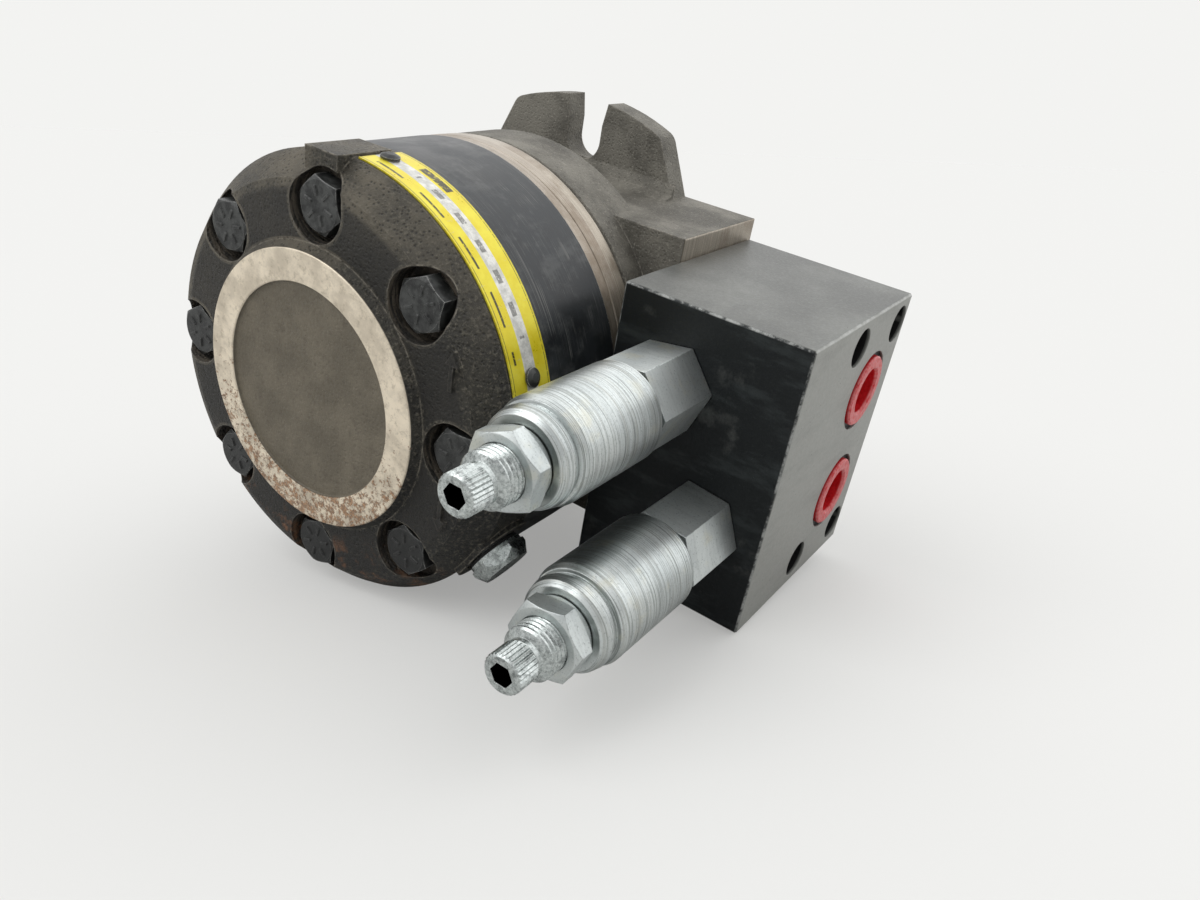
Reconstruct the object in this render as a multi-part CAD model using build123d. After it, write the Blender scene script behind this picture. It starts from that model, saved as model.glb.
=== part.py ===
from build123d import *
from math import atan, atan2, cos, degrees, pi, radians, sin, tan
import os

# Low-speed gerotor hydraulic motor with a bolted-on crossover relief block.
#
# Every piece is drawn in the motor's own axes: the origin is where the shaft axis meets the
# mounting face, +Y runs out along the shaft, +Z runs up through the upper mounting ear and +X
# points to the port block. At export each piece is turned by AS_IT_LIES, which rolls and noses
# the motor down until it stands on its cover rim, its lower ear and the foot of the block.
# Lengths are in millimetres and angles in degrees.

os.makedirs("parts", exist_ok=True)

BASE = (Align.CENTER, Align.CENTER, Align.MIN)

# Stance on a level floor
ROLL = 12.05
NOSE_DOWN = 5.35
AS_IT_LIES = Rot(X=NOSE_DOWN) * Rot(Y=ROLL)

# Stack of the motor, as stations along the shaft axis
PILOT_FRONT = 9.5
MOUNT_FACE = 0.0
FLANGE_BACK = -9.5
DRUM_FRONT = -32.3
DRUM_BACK = -57.2
HOUSING_BACK = -62.7
WEAR_PLATE_BACK = -71.1
ROTOR_BACK = -93.1
RING_BACK = -102.7
COVER_RIM = -119.3
COVER_SHOULDER = -127.6
COVER_FACE = -131.8

# Outside diameters and radii
BODY_R = 66.67
DRUM_R = 66.3
NECK_R = 50.0
COVER_RING_OUT_R = 41.3
COVER_RING_IN_R = 32.5
PILOT_R = 50.8

# Bores of the housing
REAR_BORE_R = 31.6
REAR_BORE_END = -22.0
FRONT_BORE_R = 24.0
SEAL_BORE_R = 26.6
SEAL_BORE_BACK = -4.0

# Cover recess for the valve ring, and its details
COVER_RECESS_R = 45.3
COVER_RECESS_END = -117.6
DISC_SINK = 0.9
TOP_PAD = 0.9

# Cover bolts
COVER_BOLTS = 8
BOLT_CIRCLE_R = 53.6
BOLT_PHASE = 1.0
BOLT_R = 4.76
BOLT_HEX = 14.29
BOLT_HEAD_TOP = -127.4
BOLT_HEAD_H = 6.0
BOLT_SEAT = BOLT_HEAD_TOP + BOLT_HEAD_H
BOLT_WASHER = 0.4
GRADE_MARKS = 6
BOLT_END = -40.0
BOLT_WELL_R = 10.0
HOLE_GAP = 0.25

# Mounting ears
EAR_R = 77.3
EAR_SLOT_R = 7.15
EAR_SLOT_CENTRE_R = 63.5
EAR_MOUTH_HALF = 9.0
EAR_TOP_HALF = 30.9
EAR_ROOT_HALF = 39.6
EAR_CORNER_R = 5.5
GUSSET_X0 = -36.0
GUSSET_X1 = 40.0

# Port pad and relief block
PAD_X = 66.9
PAD_HALF_H = 52.4
PAD_BACK = -46.9
BLOCK_X0 = 66.9
BLOCK_X1 = 125.2
BLOCK_Y0 = -77.9
BLOCK_Y1 = -1.1
BLOCK_HALF_H = 45.6
BLOCK_SCREW_Y = (-39.8, -8.0)
BLOCK_SCREW_Z = (-36.9, 36.9)
BLOCK_WELL_R = 6.0
BLOCK_WELL_DEPTH = 14.0
BLOCK_SCREW_R = 3.95
BLOCK_SCREW_HEAD_R = 5.6
PORT_Y = -22.3
PORT_Z = 18.2
PORT_R = 9.53
PORT_DEPTH = 20.0
PORT_FACE_R = 13.0
PORT_FACE_DEPTH = 1.2
GALLERY_R = 6.0

# Relief cartridges, as (x, z) of their axes on the block's back face
CARTRIDGES = {"upper": (86.8, 21.3), "lower": (105.0, -16.6)}
CARTRIDGE_TURN = {"upper": 9.0, "lower": -6.0}
NOSE_R = 10.0
NOSE_LENGTH = 34.0
CARTRIDGE_HEX = 23.8
SCREW_R = 7.14
SCREW_PITCH = 1.41

# Gear set: a six-lobed rotor inside seven rollers
ROLLERS = 7
ROLLER_PITCH_R = 38.0
ROLLER_R = 6.6
ECCENTRICITY = 3.2
MESH_GAP = 0.05
RUN_GAP = 0.05
ROTOR_END_GAP = 0.04
COMMUTATOR_R = 36.25
MANIFOLD_R = 46.0
BODY_SEAL_R = 46.0
BODY_SEAL_WIRE_R = 0.9

# Shaft and bearings
SHAFT_R = 15.875
SHAFT_END = 56.0
KEY_WIDTH = 7.94
KEY_LENGTH = 32.0
KEY_START = SHAFT_END - 3 - KEY_LENGTH
KEY_FLOOR = SHAFT_R - 4.0
CUP_R = 26.0
SEAL_R = 19.0
NEEDLE_R = 1.5
THRUST_Y = -25.1
THRUST_ROLLER_R = 0.95
SPLINE_TEETH = 12
SPLINE_HOLE = (13.2, 16.2, 0.62)
SPLINE_HALF = 8.0
NOSE_BALL_R = 7.8
LINK_PIVOT_Y = -44.0
LINK_ROTOR_Y = -82.1
LINK_TILT = degrees(atan(ECCENTRICITY / (LINK_PIVOT_Y - LINK_ROTOR_Y)))
LINK_NOSE_Y = -110.0
LINK_NOSE_OFFSET = ECCENTRICITY * (LINK_PIVOT_Y - LINK_NOSE_Y) / (LINK_PIVOT_Y - LINK_ROTOR_Y)

# Name plate band on the cover rim, as angles round the axis
PLATE_START = 17.5
PLATE_END = 86.5
PLATE_THICKNESS = 0.5
RIVET_ANGLES = (PLATE_START + 3, PLATE_END - 3)
RIVET_R = 1.5
RIVET_HEAD_R = 2.7
DRAIN_ANGLE = -31.0
DRAIN_Y = -110.6
DRAIN_THREAD_R = 5.55
DRAIN_HEX = 15.9


def turned(profile):
    """Solid turned about the Y axis from (radius, station) points."""
    return revolve(make_face(Polyline(*profile, close=True)), Axis.Y, 360)


def rod(radius, y0, y1):
    """Plain cylinder along Y between two stations."""
    return Plane(origin=(0, y0, 0), z_dir=(0, 1, 0)) * Cylinder(radius, y1 - y0, align=BASE)


def tube(outer, inner, y0, y1):
    """Plain ring along Y."""
    return rod(outer, y0, y1) - rod(inner, y0 - 1, y1 + 1)


def across(sketch, y0, y1):
    """Extrude a flat outline, drawn with its own x and y as X and Z, from y0 to y1."""
    face_plane = Plane(origin=(0, y1, 0), x_dir=(1, 0, 0), z_dir=(0, -1, 0))
    return extrude(face_plane * sketch, y1 - y0)


def along_x(radius, x0, x1, y=0.0, z=0.0):
    """Cylinder along X from x0 to x1."""
    return Plane(origin=(x0, y, z), z_dir=(1, 0, 0)) * Cylinder(radius, x1 - x0, align=BASE)


def block(x0, x1, y0, y1, z0, z1):
    """Box between two opposite corners."""
    return Pos((x0 + x1) / 2, (y0 + y1) / 2, (z0 + z1) / 2) * Box(x1 - x0, y1 - y0, z1 - z0)


def polar(radius, angle):
    """X and Z of a point round the shaft axis."""
    return radius * cos(radians(angle)), radius * sin(radians(angle))


def bolt_angles():
    """Angles of the cover bolts round the axis."""
    return [BOLT_PHASE + 360 / COVER_BOLTS * i for i in range(COVER_BOLTS)]


def bolt_holes(y0, y1, radius=BOLT_R + HOLE_GAP):
    """The eight through holes of the cover bolts."""
    holes = []
    for angle in bolt_angles():
        x, z = polar(BOLT_CIRCLE_R, angle)
        holes.append(Pos(x, 0, z) * rod(radius, y0, y1))
    return holes


def hexagon(across_flats, turn=0.0):
    """Regular hexagon of a given width across flats."""
    return Rot(Z=turn) * RegularPolygon(across_flats / 3 ** 0.5, 6)


def hex_head(across_flats, y0, y1, turn=0.0, chamfer_front=True, chamfer_back=False):
    """Hexagon prism whose corners are turned off at 30 degrees on one or both ends."""
    corner = across_flats / 3 ** 0.5
    flat = across_flats / 2 * 0.97
    drop = (corner - flat) * tan(radians(30))
    profile = [(0, y0), (flat if chamfer_front else corner, y0)]
    if chamfer_front:
        profile.append((corner, y0 + drop))
    if chamfer_back:
        profile.append((corner, y1 - drop))
    profile.append((flat if chamfer_back else corner, y1))
    profile.append((0, y1))
    return across(hexagon(across_flats, turn), y0, y1) & turned(profile)


def threaded_profile(outer, y0, y1, pitch, depth):
    """Points down a ridged outside, standing for a thread, from y0 to y1."""
    points = []
    turns = int((y1 - y0) / pitch)
    for i in range(turns):
        start = y0 + i * pitch
        points.append((outer - depth, start))
        points.append((outer, start + 0.35 * pitch))
        points.append((outer, start + 0.65 * pitch))
    points.append((outer - depth, y0 + turns * pitch))
    return points


# ---------------------------------------------------------------- end cover group


def end_cover():
    """Cast cover with a machined ring face, bolt wells, a name plate land and a drain boss."""
    profile = [
        (0, RING_BACK),
        (BODY_R, RING_BACK),
        (BODY_R, COVER_RIM),
        (BODY_R - 1.6, COVER_RIM - 2.2),
        (59.5, COVER_SHOULDER),
        (56.5, COVER_SHOULDER - 0.9),
        (COVER_RING_OUT_R + 2.0, COVER_SHOULDER - 1.2),
        (COVER_RING_OUT_R, COVER_FACE),
        (COVER_RING_IN_R, COVER_FACE),
        (COVER_RING_IN_R - 0.6, COVER_FACE + DISC_SINK),
        (0, COVER_FACE + DISC_SINK),
    ]
    cover = turned(profile)
    cover += block(-9.5, 3.0, COVER_RIM - 5.5, RING_BACK - 3.0, BODY_R - 8, BODY_R + TOP_PAD)
    cover += radial_rod(12.5, BODY_R - 9, BODY_R + 0.6) & rod(BODY_R + 2, COVER_RIM - 1.5, RING_BACK)
    cover += flow_arrow(51.0, 20.0, 31.0) + flow_arrow(51.5, -13.5, -23.0)
    cover -= bolt_holes(COVER_FACE - 1, BOLT_SEAT, BOLT_WELL_R)
    cover -= bolt_holes(BOLT_SEAT - 1, RING_BACK + 1)
    cover -= rod(COVER_RECESS_R, COVER_RECESS_END, RING_BACK + 1)
    cover -= radial_rod(DRAIN_THREAD_R + 0.15, BODY_R - 7.4, BODY_R + 5)
    cover -= radial_rod(9.4, BODY_R, BODY_R + 5)
    for angle in RIVET_ANGLES:
        cover -= rivet_place(angle) * Cylinder(RIVET_R + 0.05, 12)
    return cover


def flow_arrow(x, z_tail, z_tip):
    """Plain raised arrow on the cover's shoulder, beside a bolt well."""
    stroke, head_half, head_length = 0.7, 2.3, 3.8
    neck = z_tip - head_length if z_tip > z_tail else z_tip + head_length
    outline = Polyline((x - stroke, z_tail), (x + stroke, z_tail), (x + stroke, neck), (x + head_half, neck),
                       (x, z_tip), (x - head_half, neck), (x - stroke, neck), close=True)
    return across(make_face(outline), COVER_SHOULDER - 1.6, COVER_SHOULDER + 1.6)


def radial_rod(radius, r0, r1):
    """Cylinder that points out of the cover rim at the drain port."""
    x, z = polar(1, DRAIN_ANGLE)
    port = Plane(origin=(x * r0, DRAIN_Y, z * r0), z_dir=(x, 0, z))
    return port * Cylinder(radius, r1 - r0, align=BASE)


def rivet_place(angle):
    """Plane that faces out of the cover rim where a name plate rivet sits."""
    x, z = polar(1, angle)
    return Plane(origin=(x * BODY_R, DRAIN_Y, z * BODY_R), z_dir=(x, 0, z))


def cover_bolts():
    """Eight hexagon bolts, with raised grade marks, that clamp the whole stack to the housing."""
    bolts = []
    for i, angle in enumerate(bolt_angles()):
        turn = 23.0 * i
        bolt = hex_head(BOLT_HEX, BOLT_HEAD_TOP, BOLT_SEAT - BOLT_WASHER, turn)
        bolt += rod(BOLT_HEX / 2, BOLT_SEAT - BOLT_WASHER, BOLT_SEAT)
        bolt += rod(BOLT_R, BOLT_SEAT, BOLT_END)
        for k in range(GRADE_MARKS):
            mark = block(2.6, 5.4, BOLT_HEAD_TOP - 0.35, BOLT_HEAD_TOP + 0.2, -0.4, 0.4)
            bolt += Rot(Y=-turn - 360 / GRADE_MARKS * k) * mark
        x, z = polar(BOLT_CIRCLE_R, angle)
        bolts.append(Pos(x, 0, z) * bolt)
    return Compound(bolts)


def name_plate():
    """Thin curved plate wrapped over the cover rim and held by two rivets."""
    band = tube(BODY_R + PLATE_THICKNESS, BODY_R + 0.02, COVER_RIM + 0.7, RING_BACK - 0.4)
    fan = [(0, 0)]
    steps = 7
    for i in range(steps + 1):
        fan.append(polar(1.2 * BODY_R, PLATE_START + (PLATE_END - PLATE_START) * i / steps))
    plate = band & across(make_face(Polyline(*fan, close=True)), COVER_RIM, RING_BACK)
    for angle in RIVET_ANGLES:
        plate -= rivet_place(angle) * Cylinder(RIVET_R + 0.1, 12)
    return plate


def plate_rivets():
    """Two drive rivets with domed heads."""
    rivets = []
    under = PLATE_THICKNESS + 0.1
    for angle in RIVET_ANGLES:
        pin = Pos(Z=-4) * Cylinder(RIVET_R, 4 + under, align=BASE)
        head = Pos(Z=under) * Cylinder(RIVET_HEAD_R, 0.7, align=BASE)
        dome = Pos(Z=under + 0.7) * Cone(RIVET_HEAD_R, 1.3, 0.7, align=BASE)
        rivets.append(rivet_place(angle) * (pin + head + dome))
    return Compound(rivets)


def drain_seat():
    """Plane that faces out of the cover rim at the drain port."""
    x, z = polar(1, DRAIN_ANGLE)
    return Plane(origin=(x * BODY_R, DRAIN_Y, z * BODY_R), z_dir=(x, 0, z))


def drain_plug():
    """Zinc plated hexagon plug in the case drain."""
    collar = Pos(Z=1.6) * Cylinder(8.6, 1.2, align=BASE)
    head = Pos(Z=2.8) * extrude(hexagon(DRAIN_HEX, 12), 4.6)
    crown = Pos(Z=2.8) * Cone(10.0, 7.3, 4.6, align=BASE)
    thread = Pos(Z=-6.4) * Cylinder(DRAIN_THREAD_R, 8.0, align=BASE)
    return drain_seat() * (collar + (head & crown) + thread)


def drain_seal():
    """Sealing ring under the drain plug."""
    return drain_seat() * Pos(Z=0.65) * (Cylinder(8.2, 0.9, align=BASE) - Cylinder(5.6, 0.9, align=BASE))


# ---------------------------------------------------------------- valve and gear set


def commutator_ring():
    """Fixed ring in the cover recess that the commutator turns in."""
    ring = tube(COVER_RECESS_R - 0.1, COMMUTATOR_R + RUN_GAP, COVER_RECESS_END + 1, RING_BACK)
    for i in range(ROLLERS):
        x, z = polar((COVER_RECESS_R + COMMUTATOR_R) / 2, 360 / ROLLERS * i)
        ring -= Pos(x, 0, z) * rod(1.6, COVER_RECESS_END, RING_BACK + 1)
    return ring


def commutator():
    """Round valve disc, carried round at orbit speed by the nose of the drive link."""
    disc = rod(COMMUTATOR_R, COVER_RECESS_END + 1.1, RING_BACK - RUN_GAP)
    disc -= Pos(LINK_NOSE_OFFSET, 0, 0) * rod(NOSE_BALL_R + 0.2, COVER_RECESS_END, RING_BACK + 1)
    for side in (-1, 1):
        disc -= across(Pos(side * 24, 0) * SlotCenterToCenter(24, 6, rotation=90), -108, RING_BACK + 1)
    return disc


def manifold_plate():
    """Disc with one slot for each roller pocket, in the back of the rotor ring."""
    plate = rod(MANIFOLD_R, RING_BACK, ROTOR_BACK)
    plate -= rod(15.5, RING_BACK - 1, ROTOR_BACK + 1)
    for i in range(ROLLERS):
        x, z = polar(30.0, 360 / ROLLERS * (i + 0.5))
        plate -= Pos(x, 0, z) * rod(3.2, RING_BACK - 1, ROTOR_BACK + 1)
    return plate


def roller_places():
    """X and Z of the seven rollers."""
    return [polar(ROLLER_PITCH_R, 360 / ROLLERS * i) for i in range(ROLLERS)]


def stator_ring():
    """Black outer ring of the gear set, with seven roller pockets."""
    ring = tube(BODY_R, MANIFOLD_R + 0.1, RING_BACK, ROTOR_BACK)
    pocketed = tube(BODY_R, ROLLER_PITCH_R + 1.6, ROTOR_BACK, WEAR_PLATE_BACK)
    for x, z in roller_places():
        pocketed -= Pos(x, 0, z) * rod(ROLLER_R + RUN_GAP, ROTOR_BACK - 1, WEAR_PLATE_BACK + 1)
    ring += pocketed
    ring -= bolt_holes(RING_BACK - 1, WEAR_PLATE_BACK + 1)
    return ring


def stator_rollers():
    """Seven rollers, each free in its pocket."""
    roller = rod(ROLLER_R, ROTOR_BACK + ROTOR_END_GAP, WEAR_PLATE_BACK - ROTOR_END_GAP)
    return Compound([Pos(x, 0, z) * roller for x, z in roller_places()])


def rotor_outline():
    """Six-lobed outline that stays in touch with all seven rollers as it orbits."""
    points = []
    steps = 180
    reach = ROLLER_R + MESH_GAP
    for i in range(steps):
        phi = 2 * pi * i / steps
        lead = atan2(sin((1 - ROLLERS) * phi),
                     ROLLER_PITCH_R / (ECCENTRICITY * ROLLERS) - cos((1 - ROLLERS) * phi))
        x = ROLLER_PITCH_R * cos(phi) - reach * cos(phi + lead) - ECCENTRICITY * cos(ROLLERS * phi)
        z = -ROLLER_PITCH_R * sin(phi) + reach * sin(phi + lead) + ECCENTRICITY * sin(ROLLERS * phi)
        points.append((x, z))
    return make_face(Spline(*points, periodic=True))


def spline_outline(root_r, tip_r, share, teeth=SPLINE_TEETH):
    """Outline of a straight-sided spline whose teeth fill a share of each pitch."""
    points = []
    step = 360 / teeth
    tooth = [(root_r, -0.5), (root_r, -share / 2), (tip_r, -share / 2.6), (tip_r, share / 2.6),
             (root_r, share / 2)]
    for i in range(teeth):
        for radius, place in tooth:
            points.append(polar(radius, step * (i + place)))
    return make_face(Polyline(*points, close=True))


def rotor():
    """Six-lobed rotor, off centre by the eccentricity, splined to the drive link."""
    star = across(rotor_outline(), ROTOR_BACK + ROTOR_END_GAP, WEAR_PLATE_BACK - ROTOR_END_GAP)
    star -= across(spline_outline(*SPLINE_HOLE), ROTOR_BACK - 1, WEAR_PLATE_BACK + 1)
    return Pos(ECCENTRICITY, 0, 0) * star


def drive_link():
    """Tilted drive link: crowned splines in shaft and rotor, ball nose in the commutator."""
    half = LINK_PIVOT_Y - LINK_ROTOR_Y
    nose_y = LINK_NOSE_Y - LINK_PIVOT_Y
    link = rod(9.0, -half - SPLINE_HALF, SPLINE_HALF)
    for centre in (0, -half):
        y0, y1 = centre - SPLINE_HALF, centre + SPLINE_HALF
        teeth = across(spline_outline(12.0, 15.1, 0.44), y0, y1)
        link += teeth & turned([(0, y0), (13.6, y0), (14.9, centre - 4), (15.1, centre),
                                (14.9, centre + 4), (13.6, y1), (0, y1)])
    link += rod(5.0, nose_y, -half)
    link += Pos(0, nose_y, 0) * Sphere(NOSE_BALL_R) - rod(NOSE_BALL_R + 1, nose_y - 9, nose_y - 5.5)
    return Pos(0, LINK_PIVOT_Y, 0) * Rot(Z=LINK_TILT) * link


def wear_plate():
    """Bare steel plate between the gear set and the housing, with a shallow groove round its rim."""
    rim, groove_y = BODY_R - 0.1, -67.1
    plate = turned([(20.5, WEAR_PLATE_BACK), (rim, WEAR_PLATE_BACK), (rim, groove_y - 0.3),
                    (rim - 0.45, groove_y), (rim, groove_y + 0.3), (rim, HOUSING_BACK), (20.5, HOUSING_BACK)])
    return plate - bolt_holes(WEAR_PLATE_BACK - 1, HOUSING_BACK + 1)


def body_seal():
    """O-ring in the housing face, drawn lying flat in its groove."""
    ring = Rot(X=90) * Torus(BODY_SEAL_R, BODY_SEAL_WIRE_R)
    return Pos(0, HOUSING_BACK + BODY_SEAL_WIRE_R + 0.05, 0) * ring


# ---------------------------------------------------------------- housing, shaft and bearings


def ear_outline():
    """Upper mounting ear in the plane of the flange, with its open bolt slot."""
    top = (EAR_TOP_HALF, (EAR_R ** 2 - EAR_TOP_HALF ** 2) ** 0.5)
    sides = Polyline((-top[0], top[1]), (-EAR_ROOT_HALF, 52), (-EAR_ROOT_HALF, 20), (EAR_ROOT_HALF, 20),
                     (EAR_ROOT_HALF, 52), top)
    crown = ThreePointArc((-top[0], top[1]), (0, EAR_R), top)
    plate = make_face(sides + crown)
    plate = fillet(plate.vertices().group_by(Axis.Y)[-1], EAR_CORNER_R)
    slot = Pos(0, EAR_SLOT_CENTRE_R) * Circle(EAR_SLOT_R)
    slot += make_face(Polyline((-EAR_SLOT_R, EAR_SLOT_CENTRE_R), (EAR_SLOT_R, EAR_SLOT_CENTRE_R),
                               (EAR_SLOT_R, EAR_R - 8), (EAR_MOUTH_HALF, EAR_R + 3),
                               (-EAR_MOUTH_HALF, EAR_R + 3), (-EAR_SLOT_R, EAR_R - 8), close=True))
    return plate - slot


def ear(sign):
    """Upper ear, or the lower one turned from it."""
    plate = across(ear_outline(), FLANGE_BACK, MOUNT_FACE)
    return plate if sign > 0 else Rot(Y=180) * plate


def housing_shell():
    """Outside of the casting: drum, neck, ears, port pad and pilot."""
    drum = turned([
        (0, HOUSING_BACK),
        (BODY_R - 0.2, HOUSING_BACK),
        (BODY_R - 0.2, DRUM_BACK - 1.1),
        (BODY_R - 1.6, DRUM_BACK - 0.8),
        (BODY_R - 1.6, DRUM_BACK),
        (DRUM_R, DRUM_BACK + 0.7),
        (DRUM_R, DRUM_FRONT - 4),
        (DRUM_R - 3, DRUM_FRONT - 1),
        (DRUM_R - 8, DRUM_FRONT + 1),
        (NECK_R + 2, DRUM_FRONT + 3),
        (NECK_R, DRUM_FRONT + 6),
        (NECK_R, FLANGE_BACK - 4),
        (NECK_R + 2, FLANGE_BACK),
        (NECK_R + 2, MOUNT_FACE),
        (PILOT_R, MOUNT_FACE),
        (PILOT_R, PILOT_FRONT - 1),
        (PILOT_R - 1, PILOT_FRONT),
        (0, PILOT_FRONT),
    ])
    pad = block(20, PAD_X, PAD_BACK, MOUNT_FACE, -PAD_HALF_H, PAD_HALF_H)
    rear = block(-EAR_ROOT_HALF, 25, DRUM_FRONT - 6, MOUNT_FACE, -PAD_HALF_H, PAD_HALF_H)
    rear &= rod(62.0, DRUM_FRONT - 8, MOUNT_FACE + 1)
    return drum + pad + rear + ear(1) + ear(-1) + ear_gusset(1) + ear_gusset(-1)


def ear_gusset(sign):
    """Cast fillet where the back of an ear meets the body."""
    z = sign * PAD_HALF_H
    wedge = Polyline((FLANGE_BACK, z), (FLANGE_BACK - 5, z), (FLANGE_BACK - 1.5, z + sign * 1.5),
                     (FLANGE_BACK, z + sign * 5), close=True)
    side = Plane(origin=(GUSSET_X0, 0, 0), x_dir=(0, 1, 0), z_dir=(1, 0, 0))
    return extrude(side * make_face(wedge), GUSSET_X1 - GUSSET_X0)


def housing():
    """Cast and machined housing with its bores, oil ways and bolt threads."""
    body = housing_shell()
    body -= rod(REAR_BORE_R, HOUSING_BACK - 1, REAR_BORE_END)
    body -= rod(FRONT_BORE_R, REAR_BORE_END - 1, SEAL_BORE_BACK + 1)
    body -= rod(SEAL_BORE_R, SEAL_BORE_BACK, PILOT_FRONT + 1)
    body -= tube(27.8, 24.0, PILOT_FRONT - 2.6, PILOT_FRONT - 1.2)
    groove = BODY_SEAL_R - BODY_SEAL_WIRE_R
    body -= tube(BODY_SEAL_R + BODY_SEAL_WIRE_R, groove, HOUSING_BACK - 1, HOUSING_BACK + 1.9)
    body -= bolt_holes(HOUSING_BACK - 1, BOLT_END + 2)
    for sign in (-1, 1):
        body -= along_x(GALLERY_R, 40, PAD_X + 1, PORT_Y, sign * PORT_Z)
        body -= port_groove(sign, PAD_X - 1.6, PAD_X + 1)
        for y in BLOCK_SCREW_Y:
            body -= along_x(BLOCK_SCREW_R + 0.15, PAD_X - 17, PAD_X + 1, y, sign * BLOCK_SCREW_Z[1])
    body -= along_x(2.5, 20, 42, PORT_Y, PORT_Z)
    return body


def port_groove(sign, x0, x1):
    """Ring groove round one of the two oil ways on the pad face."""
    return (along_x(9.3, x0, x1, PORT_Y, sign * PORT_Z)
            - along_x(7.0, x0 - 1, x1 + 1, PORT_Y, sign * PORT_Z))


def output_shaft():
    """Keyed output shaft with a splined cup at its inner end."""
    shaft = turned([(0, -60.4), (CUP_R, -60.4), (CUP_R, -28.0), (SEAL_R, -28.0), (SEAL_R, 9.0),
                    (SHAFT_R, 11.0), (SHAFT_R, SHAFT_END - 1.2), (SHAFT_R - 1.2, SHAFT_END), (0, SHAFT_END)])
    shaft -= across(spline_outline(*SPLINE_HOLE), -61.5, -34.0)
    shaft -= turned([(0, -61.5), (17.5, -61.5), (17.5, -56.0), (0, -52.0)])
    shaft -= block(-KEY_WIDTH / 2, KEY_WIDTH / 2, KEY_START, KEY_START + KEY_LENGTH, KEY_FLOOR, SHAFT_R + 2)
    shaft -= rod(4.2, SHAFT_END - 22, SHAFT_END + 1)
    return shaft


def shaft_key():
    """Square key in the end of the shaft."""
    half = KEY_WIDTH / 2
    return block(-half, half, KEY_START, KEY_START + KEY_LENGTH, KEY_FLOOR, KEY_FLOOR + KEY_WIDTH)


def needle_rollers(shaft_r, y0, y1, count):
    """Full set of needle rollers round a journal."""
    rollers = []
    for i in range(count):
        x, z = polar(shaft_r + RUN_GAP + NEEDLE_R, 360 / count * i)
        rollers.append(Pos(x, 0, z) * rod(NEEDLE_R, y0, y1))
    return Compound(rollers)


def thrust_rollers():
    """Radial rollers of the thrust bearing between the shaft cup and the housing."""
    rollers = []
    count = 24
    inner = 21.6
    for i in range(count):
        x, z = polar(1, 360 / count * i)
        place = Plane(origin=(x * inner, THRUST_Y, z * inner), z_dir=(x, 0, z))
        rollers.append(place * Cylinder(THRUST_ROLLER_R, 5.6, align=BASE))
    return Compound(rollers)


def thrust_washers():
    """Two hardened washers either side of the thrust rollers."""
    gap = THRUST_ROLLER_R + 0.2
    front = tube(30.0, 20.4, THRUST_Y + gap, REAR_BORE_END - 0.3)
    rear = tube(30.0, 20.4, -27.7, THRUST_Y - gap)
    return Compound([front, rear])


def shaft_seal():
    """Lip seal pressed into the front bore."""
    return turned([(SEAL_R + 0.06, -1.2), (SEAL_R + 1.6, -1.4), (SEAL_R + 1.6, 3.6), (24.6, 3.6),
                   (24.6, -1.9), (26.5, -1.9), (26.5, 5.0), (SEAL_R + 0.9, 5.0), (SEAL_R + 0.06, 0.2)])


def dust_seal():
    """Scraper ring outside the main seal."""
    return turned([(SEAL_R + 0.06, 5.5), (26.4, 5.2), (26.4, 6.7), (SEAL_R + 0.06, 6.5)])


def snap_ring():
    """Retaining ring in its groove in the pilot."""
    back, front = PILOT_FRONT - 2.4, PILOT_FRONT - 1.4
    ring = tube(27.7, 24.0, back, front)
    ring -= block(-4.5, 4.5, back - 1, front + 1, -30, -20)
    for side in (-1, 1):
        ring += Pos(side * 6.4, 0, -24.4) * tube(2.1, 0.9, back, front)
    return ring


# ---------------------------------------------------------------- relief block


def manifold_block():
    """Steel block with two oil ways, two work ports, two relief bores and four screw wells."""
    body = block(BLOCK_X0, BLOCK_X1, BLOCK_Y0, BLOCK_Y1, -BLOCK_HALF_H, BLOCK_HALF_H)
    body = chamfer(body.edges(), 0.6)
    for sign in (-1, 1):
        z = sign * PORT_Z
        body -= along_x(GALLERY_R, BLOCK_X0 - 1, BLOCK_X1 - 5, PORT_Y, z)
        body -= along_x(PORT_R, BLOCK_X1 - PORT_DEPTH, BLOCK_X1 + 1, PORT_Y, z)
        body -= along_x(PORT_FACE_R, BLOCK_X1 - PORT_FACE_DEPTH, BLOCK_X1 + 1, PORT_Y, z)
    for y in BLOCK_SCREW_Y:
        for z in BLOCK_SCREW_Z:
            body -= along_x(BLOCK_SCREW_R + 0.35, BLOCK_X0 - 1, BLOCK_X1, y, z)
            body -= along_x(BLOCK_WELL_R, BLOCK_X1 - BLOCK_WELL_DEPTH, BLOCK_X1 + 1, y, z)
    for x, z in CARTRIDGES.values():
        port_z = PORT_Z if z > 0 else -PORT_Z
        body -= Pos(x, 0, z) * rod(NOSE_R + 0.1, BLOCK_Y0 - 1, BLOCK_Y0 + NOSE_LENGTH)
        body -= Pos(x, 0, z) * rod(4.5, BLOCK_Y0 + NOSE_LENGTH - 1, PORT_Y)
        body -= block(x - 4, x + 4, PORT_Y - 4, PORT_Y + 4, min(z, port_z) - 2, max(z, port_z) + 2)
        body -= block(x - 3.5, x + 3.5, BLOCK_Y0 + 19, BLOCK_Y0 + 26, -abs(z), abs(z))
    return body


def manifold_screws():
    """Four socket head screws that hold the block to the pad."""
    screws = []
    head_x = BLOCK_X1 - BLOCK_WELL_DEPTH + 0.1
    for y in BLOCK_SCREW_Y:
        for z in BLOCK_SCREW_Z:
            screw = along_x(BLOCK_SCREW_HEAD_R, head_x, head_x + 8, y, z)
            screw += along_x(BLOCK_SCREW_R, PAD_X - 15, head_x, y, z)
            screw -= Plane(origin=(head_x + 4, y, z), z_dir=(1, 0, 0)) * extrude(hexagon(6.35), 6)
            screws.append(screw)
    return Compound(screws)


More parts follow.
